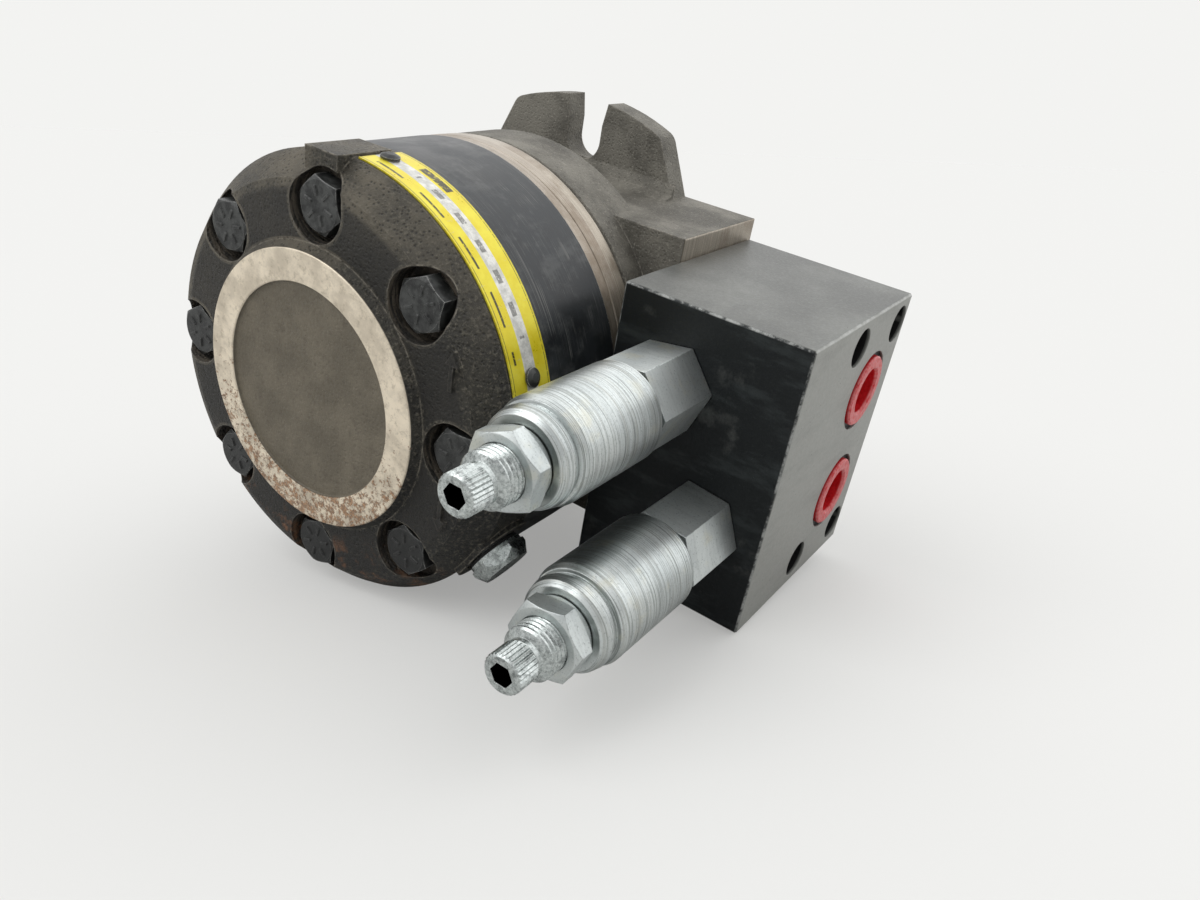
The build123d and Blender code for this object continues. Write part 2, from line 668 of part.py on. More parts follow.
def port_seals():
    """Two O-rings between the pad and the block."""
    rings = []
    for sign in (-1, 1):
        rings.append(Pos(PAD_X - 0.8, PORT_Y, sign * PORT_Z) * Rot(Y=90) * Torus(8.15, 0.78))
    return Compound(rings)


def port_plug(sign):
    """Shipping plug pushed into a work port: ribbed cup with a rim in the spot face."""
    wall, rib, crown = 8.7, 9.3, PORT_FACE_DEPTH + 0.8
    profile = [(0, -11.0), (wall - 0.6, -11.0), (wall, -10.2)]
    for i in range(3):
        y = -9.4 + 2.8 * i
        profile += [(wall, y), (rib, y + 1.0), (wall, y + 1.3)]
    profile += [(wall, 0.1), (11.4, 0.1), (11.4, crown - 0.5), (10.9, crown)]
    profile += [(7.9, crown), (7.2, crown - 0.7), (7.2, -8.5), (0, -8.5)]
    return Pos(BLOCK_X1 - PORT_FACE_DEPTH, PORT_Y, sign * PORT_Z) * Rot(Z=-90) * turned(profile)


# ---------------------------------------------------------------- relief cartridges


def cartridge_at(name):
    """Place of a cartridge: its own Y runs into the block and starts at the block face."""
    x, z = CARTRIDGES[name]
    return Pos(x, BLOCK_Y0, z)


def cartridge_body(name):
    """Long hexagon body with the nose that screws into the block."""
    shape = across(hexagon(CARTRIDGE_HEX, CARTRIDGE_TURN[name]), -25.0, -0.3)
    shape += rod(11.6, -25.6, -25.0)
    shape += rod(NOSE_R + 1.0, -0.3, 0)
    nose = [(0, 0)] + [(NOSE_R - 0.6, 0)] + threaded_profile(NOSE_R, 1.0, 15.0, 1.59, 0.7)
    nose += [(8.6, 16.0), (8.6, 32.0), (0, 32.0)]
    shape += turned(nose)
    shape += rod(9.0, -37.0, -25.6)
    shape -= rod(6.2, -38.0, 26.0)
    shape -= rod(4.0, 25.0, 33.0)
    for turn in (0, 90):
        shape -= Pos(0, 21.5, 0) * Rot(Y=turn) * Cylinder(2.2, 20)
    return shape


def cartridge_cap():
    """Turned cap over the spring, with a stepped nose and a threaded hole for the screw."""
    profile = [(9.1, -26.0), (13.2, -26.0), (14.0, -27.2), (14.0, -58.6), (13.2, -60.6), (12.2, -60.9),
               (12.2, -62.4), (12.9, -63.0), (12.4, -65.2), (11.2, -66.6), (7.22, -66.6), (7.22, -53.0),
               (9.1, -51.0)]
    return turned(profile)


def adjust_screw():
    """Adjusting screw with a ridged thread, a knurled end and a hexagon socket."""
    profile = [(0, -50.0), (SCREW_R - 0.5, -50.0)]
    ridges = threaded_profile(SCREW_R, -79.6, -51.0, SCREW_PITCH, 0.55)
    profile += list(reversed(ridges))
    profile += [(5.1, -80.4), (4.9, -81.6), (0, -81.6)]
    screw = turned(profile)
    knurl = []
    teeth = 30
    for i in range(2 * teeth):
        knurl.append(polar(5.35 if i % 2 else 4.95, 180 / teeth * i))
    tip = across(make_face(Polyline(*knurl, close=True)), -88.8, -81.6)
    tip &= turned([(0, -88.8), (4.7, -88.8), (5.4, -88.1), (5.4, -82.2), (4.8, -81.6), (0, -81.6)])
    socket = across(hexagon(5.56), -90, -83.5)
    return screw + tip - socket


def lock_nut(name):
    """Thin hexagon lock nut on the adjusting screw."""
    nut = hex_head(19.05, -74.0, -68.2, CARTRIDGE_TURN[name] + 14, True, True)
    nut += tube(9.2, 7.5, -68.2, -66.95)
    return nut - rod(SCREW_R + 0.06, -76, -66)


def spring_seat():
    """Plunger between the screw and the spring."""
    return rod(5.9, -49.7, -44.0) + rod(3.0, -44.0, -40.0)


def relief_spring():
    """Compression spring with the seat at one end and the poppet at the other."""
    wire = 0.85
    turns = 9
    height = 46.4 - 2 * wire
    path = Helix(pitch=height / turns, height=height, radius=4.6)
    start = Plane(origin=path @ 0, z_dir=path % 0)
    coil = sweep(start * Circle(wire), path=path, is_frenet=True)
    return Pos(0, -43.9 + wire, 0) * Rot(X=-90) * coil


def relief_poppet():
    """Cone poppet with a hollow skirt that guides in the body bore."""
    return turned([(0, 6.0), (5.9, 6.0), (5.9, 17.5), (0, 24.2)])


def relief_seat():
    """Hardened seat ring in the nose of the body."""
    return turned([(3.3, 20.6), (6.15, 17.35), (6.15, 25.0), (3.3, 25.0)])


def nose_seal():
    """O-ring and back-up ring near the end of the nose."""
    return Pos(0, 28.8, 0) * Rot(X=90) * Torus(9.35, 0.7)


# ---------------------------------------------------------------- export

PIECES = {
    "end_cover": end_cover(),
    "cover_bolts": cover_bolts(),
    "name_plate": name_plate(),
    "plate_rivets": plate_rivets(),
    "drain_plug": drain_plug(),
    "drain_seal": drain_seal(),
    "commutator_ring": commutator_ring(),
    "commutator": commutator(),
    "manifold_plate": manifold_plate(),
    "stator_ring": stator_ring(),
    "stator_rollers": stator_rollers(),
    "rotor": rotor(),
    "drive_link": drive_link(),
    "wear_plate": wear_plate(),
    "body_seal": body_seal(),
    "housing": housing(),
    "output_shaft": output_shaft(),
    "shaft_key": shaft_key(),
    "rear_race": tube(31.5, CUP_R + 2 * RUN_GAP + 2 * NEEDLE_R, -58.0, -30.0),
    "rear_needles": needle_rollers(CUP_R, -57.0, -31.0, 48),
    "front_race": tube(23.9, SEAL_R + 2 * RUN_GAP + 2 * NEEDLE_R, -20.0, -4.5),
    "front_needles": needle_rollers(SEAL_R, -19.0, -5.46, 36),
    "thrust_washers": thrust_washers(),
    "thrust_rollers": thrust_rollers(),
    "shaft_seal": shaft_seal(),
    "dust_seal": dust_seal(),
    "snap_ring": snap_ring(),
    "manifold_block": manifold_block(),
    "manifold_screws": manifold_screws(),
    "port_seals": port_seals(),
    "port_plug_upper": port_plug(1),
    "port_plug_lower": port_plug(-1),
}
for side in CARTRIDGES:
    PIECES["relief_body_" + side] = cartridge_at(side) * cartridge_body(side)
    PIECES["relief_cap_" + side] = cartridge_at(side) * cartridge_cap()
    PIECES["relief_screw_" + side] = cartridge_at(side) * adjust_screw()
    PIECES["relief_nut_" + side] = cartridge_at(side) * lock_nut(side)
    PIECES["relief_spring_seat_" + side] = cartridge_at(side) * spring_seat()
    PIECES["relief_spring_" + side] = cartridge_at(side) * relief_spring()
    PIECES["relief_poppet_" + side] = cartridge_at(side) * relief_poppet()
    PIECES["relief_seat_" + side] = cartridge_at(side) * relief_seat()
    PIECES["relief_nose_seal_" + side] = cartridge_at(side) * nose_seal()

for node, piece in PIECES.items():
    export_step(AS_IT_LIES * piece, f"parts/{node}.step")
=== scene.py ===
from math import pi, radians

import bpy
from mathutils import Matrix, Vector


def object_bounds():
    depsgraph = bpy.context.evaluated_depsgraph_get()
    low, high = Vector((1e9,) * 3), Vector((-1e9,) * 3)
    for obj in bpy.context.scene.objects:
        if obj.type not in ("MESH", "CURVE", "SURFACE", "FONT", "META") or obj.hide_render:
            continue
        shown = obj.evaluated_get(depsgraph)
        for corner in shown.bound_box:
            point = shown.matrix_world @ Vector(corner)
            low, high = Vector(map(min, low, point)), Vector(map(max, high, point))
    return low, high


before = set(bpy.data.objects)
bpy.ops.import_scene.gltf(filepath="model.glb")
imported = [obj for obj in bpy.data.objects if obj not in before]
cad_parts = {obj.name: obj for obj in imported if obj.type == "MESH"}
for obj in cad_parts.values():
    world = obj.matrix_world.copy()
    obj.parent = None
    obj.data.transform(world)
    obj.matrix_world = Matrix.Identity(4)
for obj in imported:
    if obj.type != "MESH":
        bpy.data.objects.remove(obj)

# Looks of a gerotor hydraulic motor: one material function per finish, then floor, light and camera.
# Materials work in the motor's own axes, in millimetres: Y along the shaft, Z through the upper ear,
# X towards the port block. The motor lies rolled and nosed down on the floor by these two angles.
CAD_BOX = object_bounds()
ROLL = radians(12.05)
NOSE_DOWN = radians(5.35)
MM = 0.001

# Stations and radii of the motor that the finishes follow
COVER_FACE = -131.8
COVER_SHOULDER = -127.6
RING_OUT_R = 41.3
RING_IN_R = 32.5
BODY_R = 66.67
BOLTS = 8
BOLT_CIRCLE_R = 53.6
BOLT_PHASE = radians(1.0)
WELL_R = 10.0
WELL_FLOOR = -118.0
WELL_INNER_R = 43.0
BOLT_RIM_R = 5.8
RAISED_INNER_R = 44.0
DRUM_BACK = -57.2
PAD_X = 66.9
PLATE_START = radians(17.5)
PLATE_END = radians(86.5)
PLATE_NEAR = -118.6
PLATE_FAR = -103.1
BLOCK_MIDDLE = (96.05, -39.5, 0.0)
BLOCK_HALF = (29.15, 38.4, 45.6)
CARTRIDGES = ((86.8, 21.3), (105.0, -16.6))
CARTRIDGE_TIP = -166.7
SOCKET_R = 3.3

SMOOTH_ANGLE = radians(28)


class Graph:
    """A material being wired. Places are in the motor's axes, in millimetres."""

    def __init__(self, name, metallic=0.0, specular=0.5):
        self.material = bpy.data.materials.new(name)
        self.material.use_nodes = True
        self.nodes = self.material.node_tree.nodes
        self.links = self.material.node_tree.links
        self.nodes.clear()
        self.shader = self.add("ShaderNodeBsdfPrincipled")
        self.shader.inputs["Specular IOR Level"].default_value = specular
        self.join(self.shader.inputs["Metallic"], metallic)
        output = self.add("ShaderNodeOutputMaterial")
        self.join(output.inputs["Surface"], self.shader.outputs["BSDF"])
        turn = self.add("ShaderNodeMapping")
        turn.inputs["Rotation"].default_value = (-NOSE_DOWN, -ROLL, 0)
        turn.inputs["Scale"].default_value = (1 / MM,) * 3
        self.join(turn.inputs["Vector"], self.add("ShaderNodeTexCoord").outputs["Object"])
        self.place = turn.outputs["Vector"]
        split = self.add("ShaderNodeSeparateXYZ")
        self.join(split.inputs[0], self.place)
        self.x, self.y, self.z = split.outputs

    def add(self, kind, **settings):
        """A new node with its settings."""
        node = self.nodes.new(kind)
        for key, value in settings.items():
            setattr(node, key, value)
        return node

    def join(self, socket, value):
        """Link a socket to another, or set its own value."""
        if isinstance(value, bpy.types.NodeSocket):
            self.links.new(value, socket)
        elif hasattr(value, "__len__") and len(value) == 3 and socket.type == "RGBA":
            socket.default_value = (*value, 1)
        else:
            socket.default_value = value

    def math(self, operation, *values):
        """One step of arithmetic."""
        node = self.add("ShaderNodeMath", operation=operation)
        for socket, value in zip(node.inputs, values):
            self.join(socket, value)
        return node.outputs[0]

    def times(self, *values):
        """Product of several values."""
        result = values[0]
        for value in values[1:]:
            result = self.math("MULTIPLY", result, value)
        return result

    def plus(self, *values):
        """Sum of several values."""
        result = values[0]
        for value in values[1:]:
            result = self.math("ADD", result, value)
        return result

    def both(self, *masks):
        """The least of several masks."""
        result = masks[0]
        for mask in masks[1:]:
            result = self.math("MINIMUM", result, mask)
        return result

    def either(self, *masks):
        """The most of several masks."""
        result = masks[0]
        for mask in masks[1:]:
            result = self.math("MAXIMUM", result, mask)
        return result

    def ramp(self, value, start, end, low=0.0, high=1.0, smooth=True):
        """low up to start, high from end on, and a soft step between them."""
        node = self.add("ShaderNodeMapRange", interpolation_type="SMOOTHSTEP" if smooth else "LINEAR")
        for socket, given in zip(node.inputs, (value, start, end, low, high)):
            self.join(socket, given)
        return node.outputs[0]

    def below(self, value, limit, soft=0.2):
        """Mask of where a value is under a limit."""
        return self.ramp(value, limit - soft, limit + soft, 1.0, 0.0)

    def above(self, value, limit, soft=0.2):
        """Mask of where a value is over a limit."""
        return self.ramp(value, limit - soft, limit + soft)

    def between(self, value, start, end, soft=0.2):
        """Mask of where a value lies between two limits."""
        return self.both(self.above(value, start, soft), self.below(value, end, soft))

    def spread(self, sx, sy, sz):
        """The place stretched by a factor along each axis."""
        node = self.add("ShaderNodeVectorMath", operation="MULTIPLY")
        self.join(node.inputs[0], self.place)
        node.inputs[1].default_value = (sx, sy, sz)
        return node.outputs[0]

    def noise(self, scale, detail=4.0, rough=0.55, place=None, twist=0.0):
        """Cloudy noise from 0 to 1, with scale in features per millimetre."""
        node = self.add("ShaderNodeTexNoise")
        self.join(node.inputs["Vector"], place or self.place)
        node.inputs["Scale"].default_value = scale
        node.inputs["Detail"].default_value = detail
        node.inputs["Roughness"].default_value = rough
        node.inputs["Distortion"].default_value = twist
        return node.outputs["Fac"]

    def cells(self, scale, place=None):
        """Distance to scattered points, for pits and specks."""
        node = self.add("ShaderNodeTexVoronoi")
        self.join(node.inputs["Vector"], place or self.place)
        node.inputs["Scale"].default_value = scale
        return node.outputs["Distance"]

    def mix(self, share, first, second):
        """Colour between two, by a mask."""
        node = self.add("ShaderNodeMix", data_type="RGBA")
        self.join(node.inputs[0], share)
        self.join(node.inputs[6], first)
        self.join(node.inputs[7], second)
        return node.outputs[2]

    def blend(self, share, first, second):
        """Number between two, by a mask."""
        node = self.add("ShaderNodeMix", data_type="FLOAT")
        self.join(node.inputs[0], share)
        self.join(node.inputs[2], first)
        self.join(node.inputs[3], second)
        return node.outputs[0]

    def radius(self, x=0.0, z=0.0):
        """Distance from the shaft axis, or from another axis that runs along it."""
        aside, up = self.math("SUBTRACT", self.x, x), self.math("SUBTRACT", self.z, z)
        return self.math("SQRT", self.plus(self.math("POWER", aside, 2.0), self.math("POWER", up, 2.0)))

    def angle(self):
        """Angle round the shaft axis."""
        return self.math("ARCTAN2", self.z, self.x)

    def ring_lines(self, pitch):
        """A place that changes only with the distance from the shaft axis, for face-turned lines."""
        node = self.add("ShaderNodeCombineXYZ")
        self.join(node.inputs[0], self.times(self.radius(), pitch))
        return node.outputs[0]

    def bevel(self, radius):
        """Normal as if every edge were rounded by radius millimetres."""
        node = self.add("ShaderNodeBevel", samples=6)
        node.inputs["Radius"].default_value = radius * MM
        return node.outputs[0]

    def edges(self, radius):
        """Mask of the edges, fading over radius millimetres."""
        node = self.add("ShaderNodeVectorMath", operation="DOT_PRODUCT")
        self.join(node.inputs[0], self.bevel(radius))
        self.join(node.inputs[1], self.add("ShaderNodeNewGeometry").outputs["Normal"])
        return self.ramp(node.outputs["Value"], 0.86, 0.99, 1.0, 0.0)

    def finish(self, colour, roughness, height, depth, edge=0.3):
        """Wire the surface: colour, roughness, and bumps of a height from 0 to 1 times depth."""
        self.join(self.shader.inputs["Base Color"], colour)
        self.join(self.shader.inputs["Roughness"], roughness)
        bump = self.add("ShaderNodeBump")
        bump.inputs["Distance"].default_value = depth * MM
        self.join(bump.inputs["Height"], height)
        self.join(bump.inputs["Normal"], self.bevel(edge))
        self.join(self.shader.inputs["Normal"], bump.outputs[0])
        return self.material


# ---------------------------------------------------------------- cast iron


def bolt_distance(g):
    """Distance from the nearest cover bolt's axis."""
    sector = 2 * pi / BOLTS
    turned = g.math("SUBTRACT", g.angle(), BOLT_PHASE)
    nearest = g.times(g.math("ROUND", g.math("DIVIDE", turned, sector)), sector)
    offset = g.math("SUBTRACT", turned, nearest)
    radius = g.radius()
    along = g.math("SUBTRACT", g.times(radius, g.math("COSINE", offset)), BOLT_CIRCLE_R)
    aside = g.times(radius, g.math("SINE", offset))
    return g.math("SQRT", g.plus(g.math("POWER", along, 2.0), g.math("POWER", aside, 2.0)))


def cover_iron():
    """Dark sand-cast cover with a machined bare ring, machined bolt wells and rust low down; painted light
    and shade make it lighter upwards and away from the port block, darker low down and towards it.
    """
    g = Graph("cover_cast_iron")
    radius = g.radius()
    grain = g.noise(0.9, 7, 0.72)
    fine = g.noise(2.6, 4, 0.7)
    sand = g.cells(0.8)
    blotch = g.noise(0.05, 4, 0.6)
    # painted light and shade: each cast tone runs from a shaded copy, low and towards the port block, to a
    # lit copy, high and away from it
    lit = g.ramp(g.math("SUBTRACT", g.z, g.times(g.x, 0.7)), -62.0, 72.0)
    dark_tone = g.mix(lit, (0.003, 0.003, 0.0025), (0.036, 0.032, 0.023))
    pale_tone = g.mix(lit, (0.013, 0.013, 0.010), (0.130, 0.112, 0.080))
    cast = g.mix(g.ramp(blotch, 0.34, 0.66), dark_tone, pale_tone)
    cast = g.mix(g.ramp(grain, 0.50, 0.64, 0.0, 0.60), cast, (0.165, 0.150, 0.116))
    cast = g.mix(g.ramp(fine, 0.58, 0.72, 0.0, 0.50), cast, (0.270, 0.250, 0.200))
    cast = g.mix(g.ramp(sand, 0.08, 0.36, 0.75, 0.0), cast, (0.007, 0.007, 0.005))
    worn = g.times(g.edges(0.9), g.ramp(g.noise(0.5, 5), 0.36, 0.58))
    cast = g.mix(g.times(worn, 0.85), cast, (0.360, 0.325, 0.260))

    from_bolt = bolt_distance(g)
    in_well = g.below(from_bolt, WELL_R + 0.15, 0.1)
    # the bolt wells' walls are made near black, streaked with pale machined marks
    well = g.both(in_well, g.below(g.y, WELL_FLOOR), g.above(radius, WELL_INNER_R))
    cut = g.ramp(g.noise(0.30, 3, 0.5, g.spread(0.4, 3.0, 0.4)), 0.42, 0.66)
    wall = g.mix(cut, (0.010, 0.009, 0.007), (0.120, 0.100, 0.075))
    cast = g.mix(g.times(well, 0.9), cast, wall)
    # painted shade: the raised arrow marks on the cover's face are painted near black in place of their
    # shadows
    outside = g.both(g.above(radius, RAISED_INNER_R), g.above(from_bolt, WELL_R + 1.0))
    shaded_raised_marks = g.both(g.below(g.y, COVER_SHOULDER - 0.7, 0.3), outside)
    cast = g.mix(g.times(shaded_raised_marks, 0.8), cast, (0.010, 0.009, 0.007))

    turned = g.between(radius, RING_IN_R - 0.3, RING_OUT_R + 0.4, 0.1)
    ring = g.both(g.below(g.y, COVER_FACE + 0.35, 0.12), turned)
    disc = g.both(g.below(g.y, COVER_FACE + 1.2), g.below(radius, RING_IN_R - 0.2, 0.25))
    mottle = g.noise(0.10, 6, 0.7)
    bare = g.mix(g.ramp(mottle, 0.36, 0.64), (0.66, 0.58, 0.46), (0.93, 0.83, 0.67))
    bare = g.mix(g.ramp(g.noise(0.45, 6, 0.75), 0.50, 0.66, 0.0, 0.45), bare, (0.40, 0.34, 0.25))
    low = g.ramp(g.z, 16.0, -34.0)
    freckle = g.noise(0.55, 7, 0.78)
    rust = g.ramp(g.math("SUBTRACT", freckle, g.blend(low, 0.640, 0.465)), 0.0, 0.060)
    rust_tone = g.mix(g.ramp(g.noise(1.5, 3), 0.35, 0.65), (0.130, 0.060, 0.024), (0.420, 0.215, 0.095))
    bare = g.mix(g.times(rust, 0.88), bare, rust_tone)
    centre = g.mix(g.ramp(g.noise(0.09, 5, 0.62), 0.36, 0.66), (0.116, 0.099, 0.069), (0.158, 0.136, 0.097))
    centre = g.mix(g.ramp(g.noise(0.32, 6, 0.72), 0.52, 0.68, 0.0, 0.5), centre, (0.078, 0.062, 0.042))
    centre = g.mix(g.ramp(fine, 0.60, 0.76, 0.0, 0.5), centre, (0.250, 0.220, 0.165))
    centre = g.mix(g.ramp(g.cells(0.45), 0.03, 0.11, 0.7, 0.0), centre, (0.030, 0.024, 0.017))

    foot = g.both(g.below(g.z, -46.0, 14.0), g.above(radius, 50.0, 6.0))
    stain = g.times(foot, g.ramp(g.noise(0.16, 6, 0.7), 0.50, 0.66))
    cast = g.mix(g.times(stain, 0.8), cast, (0.230, 0.100, 0.040))
    colour = g.mix(disc, cast, centre)
    colour = g.mix(ring, colour, bare)

    lathe = g.noise(1.0, 2, 0.5, g.ring_lines(4.0))
    rough = g.blend(ring, g.ramp(grain, 0.3, 0.7, 0.40, 0.66), g.ramp(mottle, 0.3, 0.7, 0.40, 0.58))
    pitted = g.plus(g.times(grain, 0.9), g.times(fine, 0.25), g.times(g.ramp(sand, 0.0, 0.5), 0.45))
    height = g.blend(ring, pitted, g.plus(g.times(lathe, 0.06), g.times(rust, 0.10)))
    height = g.blend(g.times(disc, 0.6), height, 0.5)
    g.join(g.shader.inputs["Metallic"], g.blend(ring, 0.0, g.math("SUBTRACT", 0.55, g.times(rust, 0.5))))
    return g.finish(colour, rough, height, 0.75, 0.6)


def housing_iron():
    """Grey-brown casting whose rim, pad, mounting face and pilot are machined bare."""
    g = Graph("housing_cast_iron")
    grain = g.noise(1.15, 6, 0.66)
    sand = g.cells(0.9)
    blotch = g.noise(0.045, 4, 0.6)
    cast = g.mix(g.ramp(blotch, 0.34, 0.66), (0.085, 0.079, 0.065), (0.215, 0.203, 0.172))
    cast = g.mix(g.ramp(grain, 0.52, 0.72, 0.0, 0.6), cast, (0.400, 0.380, 0.330))
    cast = g.mix(g.ramp(sand, 0.04, 0.26, 0.5, 0.0), cast, (0.040, 0.036, 0.030))
    edge = g.times(g.edges(0.8), g.ramp(g.noise(0.5, 5), 0.38, 0.62))
    cast = g.mix(g.times(edge, 0.8), cast, (0.380, 0.350, 0.300))
    nose = g.above(g.y, -0.15, 0.1)
    machined = g.either(g.below(g.y, DRUM_BACK - 0.3), nose, g.above(g.x, PAD_X - 0.2, 0.1))
    lines = g.noise(1.0, 4, 0.62, g.spread(0.02, 7.0, 0.02))
    bare = g.mix(g.ramp(lines, 0.36, 0.66), (0.300, 0.262, 0.210), (0.600, 0.545, 0.465))
    tint = g.ramp(g.noise(0.07, 5, 0.65), 0.45, 0.68)
    bare = g.mix(g.times(tint, 0.55), bare, (0.190, 0.135, 0.090))
    rough = g.blend(machined, g.ramp(grain, 0.3, 0.7, 0.58, 0.80), g.ramp(lines, 0.3, 0.7, 0.28, 0.48))
    height = g.plus(g.times(grain, 0.8), g.times(g.ramp(sand, 0.0, 0.5), 0.35))
    height = g.blend(machined, height, g.times(lines, 0.12))
    g.join(g.shader.inputs["Metallic"], g.times(machined, 0.85))
    return g.finish(g.mix(machined, cast, bare), rough, height, 0.45, 0.9)


# ---------------------------------------------------------------- dark steel


def black_bolt():
    """Black oxide bolt heads with rubbed faces and corners, and painted light: the higher heads are lighter,
    the lower ones darker.
    """
    g = Graph("bolt_black_oxide", metallic=0.15, specular=0.6)
    fine = g.noise(1.6, 5, 0.7)
    smear = g.noise(0.30, 4, 0.6)
    # painted light: the heads' pale tone brightens from the lowest bolts to the highest
    lit = g.ramp(g.z, -50.0, 50.0)
    pale = g.mix(lit, (0.015, 0.016, 0.016), (0.054, 0.057, 0.055))
    colour = g.mix(g.ramp(smear, 0.36, 0.64), (0.009, 0.010, 0.010), pale)
    colour = g.mix(g.ramp(fine, 0.58, 0.72, 0.0, 0.5), colour, (0.170, 0.172, 0.166))
    rim = g.blend(g.above(bolt_distance(g), BOLT_RIM_R, 0.3), 0.12, 0.9)
    worn = g.times(g.edges(0.55), g.ramp(g.noise(0.8, 5), 0.30, 0.52))
    colour = g.mix(g.times(worn, rim), colour, (0.400, 0.405, 0.390))
    return g.finish(colour, g.ramp(fine, 0.3, 0.7, 0.32, 0.52), fine, 0.10, 0.4)


def black_ring():
    """Blue-black gear ring, semi-gloss, with pale rubbed streaks round it."""
    g = Graph("ring_black_oxide", metallic=0.15)
    lines = g.noise(1.0, 3, 0.55, g.spread(0.03, 2.6, 0.03))
    cloud = g.noise(0.06, 4, 0.6)
    colour = g.mix(g.ramp(cloud, 0.35, 0.65), (0.010, 0.012, 0.014), (0.026, 0.030, 0.034))
    scuff = g.times(g.ramp(lines, 0.50, 0.66), g.ramp(g.noise(0.09, 5, 0.65), 0.44, 0.62))
    colour = g.mix(g.times(scuff, 0.45), colour, (0.240, 0.240, 0.225))
    smudge = g.ramp(g.noise(0.10, 6, 0.7, g.spread(1.0, 0.7, 1.0)), 0.50, 0.66)
    colour = g.mix(g.times(smudge, 0.45), colour, (0.095, 0.099, 0.098))
    specks = g.ramp(g.noise(1.2, 5, 0.75), 0.64, 0.76)
    colour = g.mix(g.times(specks, 0.45), colour, (0.240, 0.235, 0.220))
    bright = g.times(g.edges(0.5), g.ramp(g.noise(0.5, 4), 0.34, 0.56))
    colour = g.mix(bright, colour, (0.420, 0.400, 0.370))
    rough = g.plus(g.ramp(cloud, 0.3, 0.7, 0.32, 0.46), g.times(scuff, 0.15))
    return g.finish(colour, rough, g.plus(lines, g.times(specks, 0.5)), 0.03, 0.4)


def block_steel():
    """Black oxide block with bright worn corners; painted shade makes the face towards the cartridges deep
    black, painted light makes the other faces worn grey, lightest on the outer side face.
    """
    g = Graph("block_black_oxide", metallic=0.35)
    inside = []
    for axis, middle, half in zip((g.x, g.y, g.z), BLOCK_MIDDLE, BLOCK_HALF):
        offset = g.math("ABSOLUTE", g.math("SUBTRACT", axis, middle))
        inside.append(g.math("SUBTRACT", offset, half))
    in_x, in_y, in_z = inside
    corner = g.either(g.both(in_x, in_y), g.both(in_y, in_z), g.both(in_x, in_z))
    # painted shade: the face towards the cartridges is painted deep black
    front = g.below(g.y, BLOCK_MIDDLE[1] - BLOCK_HALF[1] + 0.5, 0.3)
    fine = g.noise(0.9, 6, 0.74)
    cloud = g.noise(0.03, 4, 0.6)
    wipe = g.noise(0.09, 5, 0.62, g.spread(0.6, 0.35, 2.0))
    # painted light: the other faces get a worn grey, and the outer side face a lighter painted reflection
    side = g.above(g.x, BLOCK_MIDDLE[0] + BLOCK_HALF[0] - 0.5, 0.3)
    worn_and_lit_faces = g.mix(g.ramp(cloud, 0.34, 0.66), (0.098, 0.101, 0.094), (0.165, 0.170, 0.157))
    worn_and_lit_faces = g.mix(g.times(side, 0.75), worn_and_lit_faces, (0.400, 0.405, 0.380))
    worn_and_lit_faces = g.mix(g.times(g.ramp(wipe, 0.50, 0.68), g.blend(side, 0.5, 0.15)), worn_and_lit_faces, (0.092, 0.095, 0.090))
    worn_and_lit_faces = g.mix(g.ramp(fine, 0.56, 0.70, 0.0, 0.45), worn_and_lit_faces, (0.290, 0.292, 0.275))
    pits = g.ramp(g.cells(0.55), 0.05, 0.13, 1.0, 0.0)
    worn_and_lit_faces = g.mix(g.times(pits, g.ramp(g.noise(0.12, 4), 0.46, 0.58), 0.9), worn_and_lit_faces, (0.030, 0.030, 0.028))
    black_and_shaded_front = g.mix(g.ramp(wipe, 0.48, 0.70), (0.004, 0.006, 0.007), (0.022, 0.027, 0.028))
    black_and_shaded_front = g.mix(g.ramp(g.noise(0.07, 5, 0.6), 0.58, 0.72, 0.0, 0.6), black_and_shaded_front, (0.075, 0.078, 0.074))
    black_and_shaded_front = g.mix(g.ramp(fine, 0.66, 0.76, 0.0, 0.35), black_and_shaded_front, (0.180, 0.185, 0.180))
    colour = g.mix(front, worn_and_lit_faces, black_and_shaded_front)
    # painted shade: faces sunk more than about a millimetre into the block, in its bores and spot faces, are
    # painted near black
    sunk = g.below(g.either(*inside), -0.95, 0.1)
    colour = g.mix(sunk, colour, (0.010, 0.010, 0.010))
    rim = g.both(g.above(corner, -0.60, 0.2), g.math("SUBTRACT", 1.0, sunk))
    rubbed_rim = g.times(rim, g.ramp(g.noise(0.25, 6, 0.7), 0.40, 0.62), 0.75)
    colour = g.mix(rubbed_rim, colour, (0.460, 0.470, 0.455))
    rough = g.blend(front, g.ramp(fine, 0.3, 0.7, 0.36, 0.52), g.ramp(fine, 0.3, 0.7, 0.46, 0.62))
    return g.finish(colour, rough, g.plus(fine, g.times(wipe, 0.4), g.times(pits, -0.6)), 0.07, 0.45)


# ---------------------------------------------------------------- bright metal


def turned_steel():
    """Bare turned plate: tan steel with lines round it and brown stain."""
    g = Graph("turned_bare_steel", metallic=0.85)
    lines = g.noise(1.0, 5, 0.66, g.spread(0.02, 6.0, 0.02))
    stain = g.noise(0.06, 5, 0.66)
    colour = g.mix(g.ramp(lines, 0.36, 0.64), (0.270, 0.230, 0.186), (0.540, 0.485, 0.415))
    colour = g.mix(g.ramp(stain, 0.46, 0.68, 0.0, 0.6), colour, (0.200, 0.150, 0.105))
    specks = g.ramp(g.noise(1.5, 5, 0.7), 0.64, 0.76, 0.0, 0.5)
    colour = g.mix(specks, colour, (0.085, 0.062, 0.045))
    return g.finish(colour, g.ramp(lines, 0.3, 0.7, 0.34, 0.52), lines, 0.06, 0.3)


